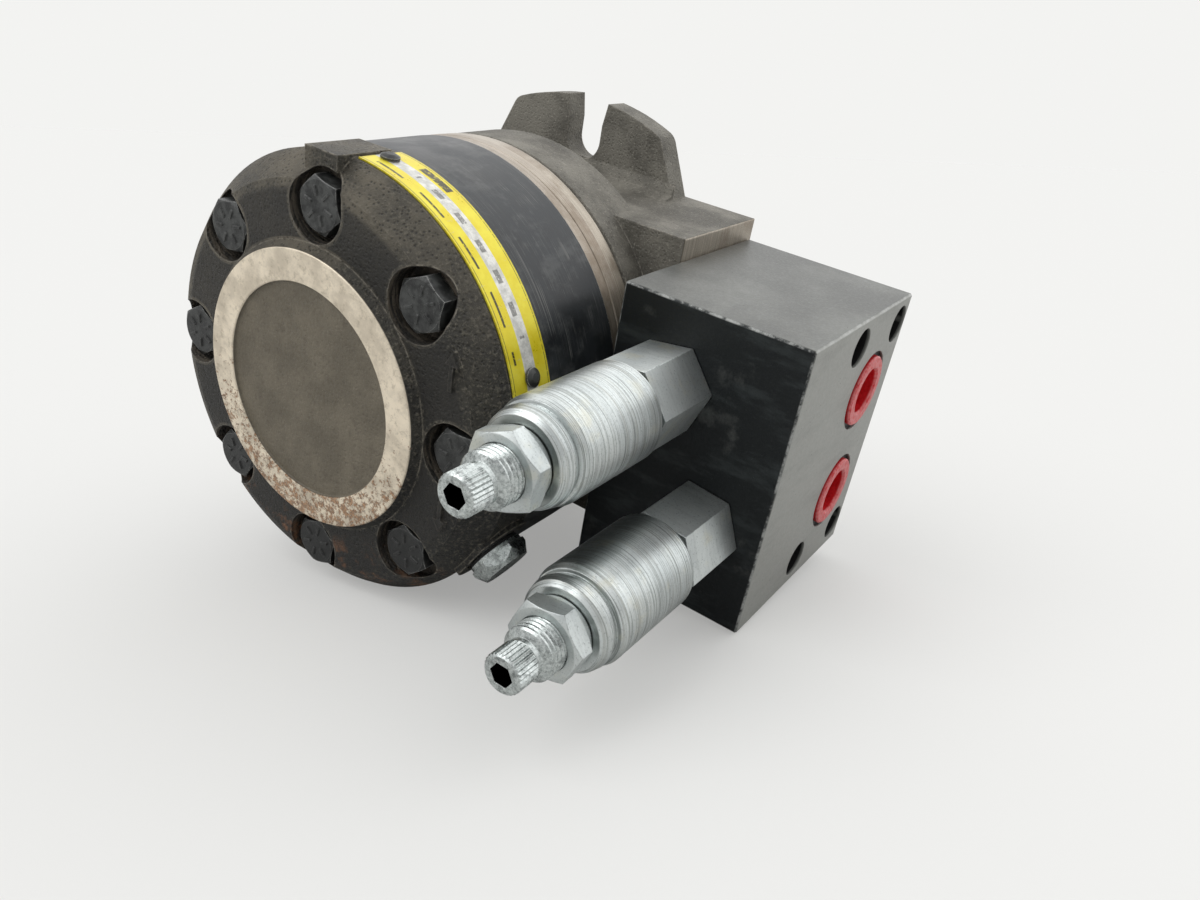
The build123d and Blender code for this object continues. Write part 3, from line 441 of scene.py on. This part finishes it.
def ground_steel():
    """Ground and hardened running parts."""
    g = Graph("ground_steel", metallic=1.0)
    lines = g.noise(1.0, 4, 0.6, g.spread(0.2, 8.0, 0.2))
    oil = g.noise(0.09, 4, 0.6)
    colour = g.mix(g.ramp(oil, 0.35, 0.65), (0.47, 0.46, 0.44), (0.63, 0.63, 0.62))
    colour = g.mix(g.ramp(lines, 0.60, 0.76, 0.0, 0.35), colour, (0.30, 0.29, 0.27))
    return g.finish(colour, g.ramp(lines, 0.3, 0.7, 0.16, 0.30), lines, 0.015, 0.25)


def spring_steel():
    """Dark tempered wire and clips."""
    g = Graph("spring_steel", metallic=0.9)
    fine = g.noise(1.8, 5, 0.65)
    colour = g.mix(g.ramp(fine, 0.35, 0.65), (0.13, 0.125, 0.12), (0.30, 0.295, 0.28))
    return g.finish(colour, g.ramp(fine, 0.3, 0.7, 0.30, 0.45), fine, 0.03, 0.2)


def zinc(name, line_pitch, line_depth, dark_share, rough_low, rough_high):
    """Bright zinc plate over turned or milled steel; line_pitch is lines per millimetre along the axis."""
    g = Graph(name, metallic=1.0)
    lines = g.noise(1.0, 4, 0.7, g.spread(0.03, line_pitch, 0.03))
    cloud = g.noise(0.05, 4, 0.55)
    fine = g.noise(1.6, 5, 0.7)
    colour = g.mix(g.ramp(cloud, 0.34, 0.66), (0.55, 0.59, 0.59), (0.72, 0.76, 0.75))
    colour = g.mix(g.ramp(lines, 0.50, 0.60, 0.0, dark_share), colour, (0.20, 0.22, 0.21))
    bands = g.noise(1.0, 3, 0.6, g.spread(0.02, line_pitch / 5, 0.02))
    colour = g.mix(g.ramp(bands, 0.52, 0.66, 0.0, 0.6 * dark_share), colour, (0.42, 0.43, 0.40))
    amber = g.ramp(g.noise(0.11, 4, 0.6), 0.54, 0.72)
    colour = g.mix(g.times(amber, 0.30), colour, (0.74, 0.70, 0.52))
    colour = g.mix(g.ramp(fine, 0.54, 0.70, 0.0, 0.60), colour, (0.24, 0.27, 0.27))
    nicks = g.times(g.ramp(g.cells(0.55), 0.03, 0.08, 1.0, 0.0), g.ramp(g.noise(0.15, 4), 0.50, 0.60))
    colour = g.mix(g.times(nicks, 0.75), colour, (0.12, 0.13, 0.13))
    # darker along every edge
    dark_edges = g.times(g.edges(0.5), g.ramp(g.noise(0.5, 4), 0.42, 0.58))
    colour = g.mix(g.times(dark_edges, 0.6), colour, (0.12, 0.13, 0.13))
    rough = g.plus(g.ramp(fine, 0.3, 0.7, rough_low, rough_high), g.times(lines, 0.06))
    height = g.plus(lines, g.times(fine, 0.15), g.times(nicks, -0.5))
    return g.finish(colour, rough, height, line_depth, 0.35)


def thread_zinc():
    """Zinc thread and knurl with patches of dirt, and painted shade that makes the screws' sockets near
    black.
    """
    g = Graph("zinc_thread", metallic=1.0)
    fine = g.noise(1.4, 5, 0.7)
    colour = g.mix(g.ramp(fine, 0.36, 0.66), (0.44, 0.48, 0.47), (0.70, 0.74, 0.73))
    grime = g.ramp(g.noise(0.45, 5, 0.7), 0.48, 0.64)
    colour = g.mix(g.times(grime, 0.65), colour, (0.12, 0.13, 0.13))
    worn = g.times(g.edges(0.25), 0.5)
    colour = g.mix(worn, colour, (0.85, 0.88, 0.87))
    # painted shade: the hex sockets of the adjusting screws are painted near black
    middle = g.both(*[g.radius(x, z) for x, z in CARTRIDGES])
    socket = g.both(g.below(middle, SOCKET_R, 0.1), g.above(g.y, CARTRIDGE_TIP + 0.25, 0.1))
    colour = g.mix(socket, colour, (0.012, 0.013, 0.013))
    return g.finish(colour, g.ramp(fine, 0.3, 0.7, 0.24, 0.36), fine, 0.03, 0.15)


# ---------------------------------------------------------------- plate, plastic, rubber


def name_plate():
    """Printed plate: yellow bands beside a silver strip, with plain black bars and no lettering."""
    g = Graph("name_plate_print", metallic=0.25)
    angle = g.angle()
    along = g.times(g.math("SUBTRACT", angle, PLATE_START), BODY_R)
    wide = PLATE_FAR - PLATE_NEAR
    from_near = g.math("SUBTRACT", g.y, PLATE_NEAR)
    fade = g.noise(0.14, 5, 0.65)
    yellow = g.mix(g.ramp(fade, 0.36, 0.68), (0.74, 0.60, 0.012), (0.82, 0.72, 0.05))
    silver = g.mix(g.ramp(g.noise(0.3, 5, 0.7), 0.36, 0.66), (0.50, 0.50, 0.47), (0.80, 0.79, 0.75))
    strip = g.between(from_near, wide * 0.37, wide * 0.66, 0.12)
    colour = g.mix(strip, yellow, silver)

    end = (PLATE_END - PLATE_START) * BODY_R
    near_rule = g.between(from_near, 0.55, 0.85, 0.08)
    far_rule = g.between(from_near, wide - 0.85, wide - 0.55, 0.08)
    rule = g.either(near_rule, far_rule)
    cell = g.math("FRACT", g.times(along, 0.062))
    dashes = g.both(g.between(cell, 0.12, 0.72, 0.01), g.above(along, 8.0))
    field = g.both(g.between(from_near, 2.3, 3.1, 0.1), dashes)
    box = g.both(g.between(from_near, wide - 4.3, wide - 1.6, 0.1),
                 g.between(along, end - 22.0, end - 11.0, 0.15))
    ticks = g.both(g.between(from_near, wide * 0.45, wide * 0.57, 0.1),
                   g.between(g.math("FRACT", g.times(along, 0.11)), 0.2, 0.62, 0.02),
                   g.between(along, 14.0, end - 14.0, 0.2))
    print_mask = g.either(g.times(rule, 0.75), field, box, g.times(ticks, 0.7))
    worn = g.ramp(g.noise(0.9, 6, 0.75), 0.36, 0.46)
    colour = g.mix(g.times(print_mask, worn, 0.95), colour, (0.022, 0.021, 0.018))
    scratch = g.ramp(g.noise(0.5, 5, 0.7, g.spread(3.0, 0.6, 0.6)), 0.63, 0.70)
    colour = g.mix(g.times(scratch, 0.45), colour, (0.55, 0.53, 0.46))
    dark_edges = g.times(g.edges(0.6), g.ramp(g.noise(0.8, 4), 0.35, 0.6))
    colour = g.mix(g.times(dark_edges, 0.6), colour, (0.10, 0.085, 0.05))
    rough = g.plus(g.ramp(fade, 0.3, 0.7, 0.26, 0.40), g.times(scratch, 0.2))
    height = g.plus(g.times(print_mask, 0.5), g.times(g.noise(0.35, 4), 0.7))
    return g.finish(colour, rough, height, 0.05, 0.15)


def red_plastic():
    """Soft moulded red plastic, paler on the part that stands out of the block."""
    g = Graph("red_plastic", specular=0.3)
    g.shader.inputs["Subsurface Weight"].default_value = 0.15
    g.shader.inputs["Subsurface Radius"].default_value = (0.003, 0.0006, 0.0006)
    fine = g.noise(1.0, 5, 0.65)
    colour = g.mix(g.ramp(fine, 0.35, 0.65), (0.48, 0.005, 0.008), (0.62, 0.012, 0.018))
    # paler on the part of the plug that stands out beyond the block's face
    rim = g.above(g.x, BLOCK_MIDDLE[0] + BLOCK_HALF[0], 0.4)
    pale_outer_part = g.times(rim, g.ramp(g.noise(0.7, 6, 0.7), 0.30, 0.62))
    colour = g.mix(g.times(pale_outer_part, 0.6), colour, (0.72, 0.30, 0.30))
    return g.finish(colour, g.ramp(fine, 0.3, 0.7, 0.32, 0.50), fine, 0.05, 0.3)


def rubber():
    """Black nitrile seals with a little bloom."""
    g = Graph("seal_rubber", specular=0.35)
    fine = g.noise(1.6, 5, 0.65)
    colour = g.mix(g.ramp(fine, 0.4, 0.7), (0.012, 0.012, 0.012), (0.040, 0.040, 0.039))
    return g.finish(colour, g.ramp(fine, 0.3, 0.7, 0.50, 0.70), fine, 0.05, 0.25)


# ---------------------------------------------------------------- assembly


def shade_smooth(piece):
    """Smooth the curved faces and keep the machined edges sharp."""
    mesh = piece.data
    mesh.polygons.foreach_set("use_smooth", [True] * len(mesh.polygons))
    mesh.set_sharp_from_angle(angle=SMOOTH_ANGLE)


def dress():
    """Give every CAD node its material."""
    steel, seal, wire = ground_steel(), rubber(), spring_steel()
    black, plated = black_bolt(), thread_zinc()
    finishes = {
        "end_cover": cover_iron(),
        "housing": housing_iron(),
        "cover_bolts": black,
        "plate_rivets": black,
        "manifold_screws": black,
        "stator_ring": black_ring(),
        "wear_plate": turned_steel(),
        "manifold_block": block_steel(),
        "name_plate": name_plate(),
        "snap_ring": wire,
        "drain_plug": plated,
    }
    caps = zinc("zinc_turned_cap", 3.2, 0.03, 0.80, 0.28, 0.38)
    bodies = zinc("zinc_milled_hexagon", 0.4, 0.012, 0.12, 0.38, 0.50)
    red = red_plastic()
    for node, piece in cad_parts.items():
        finish = finishes.get(node, steel)
        if "seal" in node:
            finish = seal
        elif node.startswith("port_plug"):
            finish = red
        elif node.startswith("relief_cap"):
            finish = caps
        elif node.startswith(("relief_body", "relief_nut")):
            finish = bodies
        elif node.startswith("relief_screw"):
            finish = plated
        elif node in ("relief_spring_upper", "relief_spring_lower"):
            finish = wire
        piece.data.materials.clear()
        piece.data.materials.append(finish)
        shade_smooth(piece)


# ---------------------------------------------------------------- stage, light and camera

# The eye sees paint with a little lift in its shadows; the motor is lit by the bounce alone.
FLOOR_COATS = (
    ("paint", "ShaderNodeBsdfDiffuse", (0.45, 0.45, 0.442)),
    ("lift", "ShaderNodeEmission", (0.33, 0.33, 0.324)),
    ("bounce", "ShaderNodeBsdfDiffuse", (0.55, 0.55, 0.54)),
)
FLOOR_HALF = 60.0
FLOOR_GAP = 0.0002
BACKDROP = (0.897, 0.897, 0.881)
WINDOW = (0.10, 0.80, 0.59)
KEY_FROM = (-0.45, -0.70, 0.95)
KEY_STRENGTH = 1.15
KEY_SPREAD = radians(50)


def seen_or_lit(nodes, links, kind, seen, lit):
    """Shader node choice: one for what the eye sees, the other for the light it gives back."""
    path = nodes.new("ShaderNodeLightPath")
    choice = nodes.new(kind)
    links.new(path.outputs["Is Camera Ray"], choice.inputs[0])
    links.new(lit, choice.inputs[1])
    links.new(seen, choice.inputs[2])
    return choice.outputs[0]


def floor():
    """Plain pale floor at the motor's lowest point, with a lifted shadow for the eye alone."""
    level = CAD_BOX[0].z - FLOOR_GAP
    mesh = bpy.data.meshes.new("floor")
    corners = [(x * FLOOR_HALF, y * FLOOR_HALF, level) for x, y in ((-1, -1), (1, -1), (1, 1), (-1, 1))]
    mesh.from_pydata(corners, [], [(0, 1, 2, 3)])
    plane = bpy.data.objects.new("floor", mesh)
    bpy.context.scene.collection.objects.link(plane)
    paint = bpy.data.materials.new("floor_paint")
    paint.use_nodes = True
    nodes, links = paint.node_tree.nodes, paint.node_tree.links
    nodes.clear()
    coats = {}
    for name, kind, colour in FLOOR_COATS:
        coat = nodes.new(kind)
        coat.inputs["Color"].default_value = (*colour, 1)
        coats[name] = coat.outputs[0]
    seen = nodes.new("ShaderNodeAddShader")
    links.new(coats["paint"], seen.inputs[0])
    links.new(coats["lift"], seen.inputs[1])
    surface = seen_or_lit(nodes, links, "ShaderNodeMixShader", seen.outputs[0], coats["bounce"])
    links.new(surface, nodes.new("ShaderNodeOutputMaterial").inputs["Surface"])
    mesh.materials.append(paint)


def key_light():
    """Soft distant light in front and to the left."""
    data = bpy.data.lights.new("key", "SUN")
    data.energy = KEY_STRENGTH
    data.angle = KEY_SPREAD
    lamp = bpy.data.objects.new("key", data)
    lamp.rotation_euler = Vector(KEY_FROM).to_track_quat("Z", "Y").to_euler()
    bpy.context.scene.collection.objects.link(lamp)


def ranged(nodes, links, value, start, end, low, high):
    """A value mapped smoothly from one range to another, for the surround."""
    node = nodes.new("ShaderNodeMapRange")
    node.interpolation_type = "SMOOTHSTEP"
    for socket, given in zip(node.inputs[1:], (start, end, low, high)):
        socket.default_value = given
    links.new(value, node.inputs[0])
    return node.outputs[0]


def studio():
    """Pale surround that is brighter overhead and at a broad window behind, and the key."""
    world = bpy.data.worlds.new("studio")
    bpy.context.scene.world = world
    world.use_nodes = True
    nodes, links = world.node_tree.nodes, world.node_tree.links
    nodes.clear()
    direction = nodes.new("ShaderNodeTexCoord").outputs["Generated"]
    split = nodes.new("ShaderNodeSeparateXYZ")
    links.new(direction, split.inputs[0])
    overhead = ranged(nodes, links, split.outputs["Z"], -0.1, 0.8, 0.62, 0.90)
    towards = nodes.new("ShaderNodeVectorMath")
    towards.operation = "DOT_PRODUCT"
    towards.inputs[1].default_value = WINDOW
    links.new(direction, towards.inputs[0])
    window = ranged(nodes, links, towards.outputs["Value"], 0.30, 0.95, 0.0, 1.05)
    level = nodes.new("ShaderNodeMath")
    links.new(overhead, level.inputs[0])
    links.new(window, level.inputs[1])
    lit = nodes.new("ShaderNodeBackground")
    links.new(level.outputs[0], lit.inputs["Strength"])
    seen = nodes.new("ShaderNodeBackground")
    seen.inputs["Color"].default_value = (*BACKDROP, 1)
    surface = seen_or_lit(nodes, links, "ShaderNodeMixShader", seen.outputs[0], lit.outputs[0])
    links.new(surface, nodes.new("ShaderNodeOutputWorld").inputs["Surface"])
    key_light()


# Camera, in the motor's axes: place in millimetres and the three directions of its picture
CAMERA_PLACE = (196.1, -300.8, 130.5)
CAMERA_RIGHT = (0.8118, 0.5622, 0.1579)
CAMERA_DOWN = (0.3875, -0.3162, -0.8659)
CAMERA_FORWARD = (-0.4369, 0.7641, -0.4746)
CAMERA_LENS = 28.92


def camera():
    """Camera that looks down on the cover and the relief cartridges."""
    lies = (Matrix.Rotation(NOSE_DOWN, 3, "X") @ Matrix.Rotation(ROLL, 3, "Y"))
    axes = Matrix((CAMERA_RIGHT, -Vector(CAMERA_DOWN), -Vector(CAMERA_FORWARD))).transposed()
    data = bpy.data.cameras.new("camera")
    data.lens = CAMERA_LENS
    data.sensor_width = 36.0
    data.clip_start = 0.01
    view = bpy.data.objects.new("camera", data)
    view.matrix_world = Matrix.Translation(lies @ Vector(CAMERA_PLACE) * MM) @ (lies @ axes).to_4x4()
    bpy.context.scene.collection.objects.link(view)
    bpy.context.scene.camera = view


dress()
floor()
studio()
camera()
bpy.context.scene.view_settings.view_transform = "Standard"
